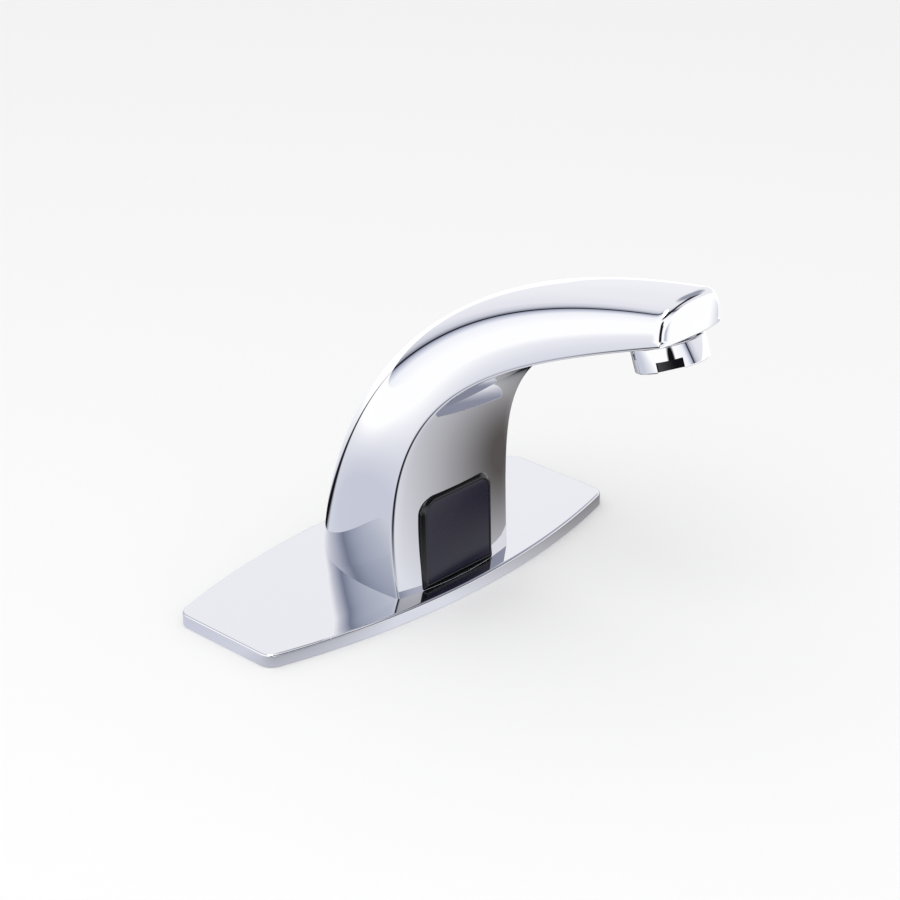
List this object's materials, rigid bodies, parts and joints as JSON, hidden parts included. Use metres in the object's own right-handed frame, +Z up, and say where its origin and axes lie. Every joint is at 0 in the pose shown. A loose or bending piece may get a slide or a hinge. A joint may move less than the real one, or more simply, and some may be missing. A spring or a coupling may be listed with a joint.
{
  "type": "sensor tap",
  "caption": "Deck-mounted touch-free basin tap with a curved spout on a boat-shaped cover plate, an infrared sensor window, an internal solenoid valve and an aerator.",
  "frame": {"origin": "middle of the face that stands on the deck", "axes": "+Z up, the spout reaches along -Y, the cover plate is long along X"},
  "size_m": [0.16, 0.1529, 0.1294],
  "materials": {
    "chrome": "polished chrome plating on cast brass",
    "black_gloss": "moulded black plastic",
    "dark_window": "infrared-passing dark acrylic",
    "brass": "machined brass",
    "steel": "stainless steel",
    "rubber": "black rubber",
    "valve_plastic": "moulded acetal",
    "coil_plastic": "overmoulded winding",
    "tube_plastic": "crosslinked polythene tube",
    "aerator_plastic": "moulded acetal",
    "case_plastic": "moulded plastic",
    "board": "glass-fibre laminate",
    "clear_resin": "clear cast resin",
    "tinted_resin": "tinted cast resin"
  },
  "bodies": {
    "tap": {"spout_body": "chrome", "deck_plate": "chrome", "sensor_bezel": "black_gloss", "sensor_window": "dark_window", "foot_plate": "brass", "inlet_tube": "brass", "foot_screws": "steel", "core_tube": "steel", "bonnet_screws": "steel", "plunger_spring": "steel", "coil_yoke": "steel", "coil_clip": "steel", "deck_gasket": "rubber", "foot_seal": "rubber", "cable_grommet": "rubber", "inlet_seals": "rubber", "sensor_gasket": "rubber", "valve_body": "valve_plastic", "solenoid_coil": "coil_plastic", "outlet_tube": "tube_plastic", "sensor_case": "case_plastic", "sensor_cover": "case_plastic", "sensor_board": "board", "ir_receiver": "clear_resin", "status_lamp": "clear_resin", "ir_emitter": "tinted_resin"},
    "aerator_core": {"aerator_insert": "aerator_plastic", "stream_former": "aerator_plastic", "aerator_screen": "steel", "aerator_washer": "rubber"},
    "aerator_shell": {"aerator_housing": "chrome"},
    "plunger": {"plunger": "steel"},
    "piston": {"valve_piston": "valve_plastic", "piston_seal": "rubber"}
  },
  "joints": [
    {"name": "aerator_travel", "type": "slide", "parent": "tap", "child": "aerator_core", "axis": [0, -0.3446, -0.9388], "range_m": [0, 0.005]},
    {"name": "aerator_turn", "type": "hinge", "parent": "aerator_core", "child": "aerator_shell", "pos_m": [0, -0.10715, 0.11266], "axis": [0, -0.3446, -0.9388], "range_deg": [0, 1800]},
    {"name": "plunger_lift", "type": "slide", "parent": "tap", "child": "plunger", "axis": [0, 0, -1], "range_m": [0, 0.0022], "stiffness_N_per_m": 300, "springref_m": -0.003, "deforming": ["plunger_spring"]},
    {"name": "piston_lift", "type": "slide", "parent": "tap", "child": "piston", "axis": [0, 0, -1], "range_m": [0, 0.002]}
  ],
  "couplings": [
    {"joint": "aerator_travel", "follows": "aerator_turn", "m_per_rad": 0.00015915},
    {"joint": "piston_lift", "follows": "plunger_lift", "ratio": 0.909}
  ]
}
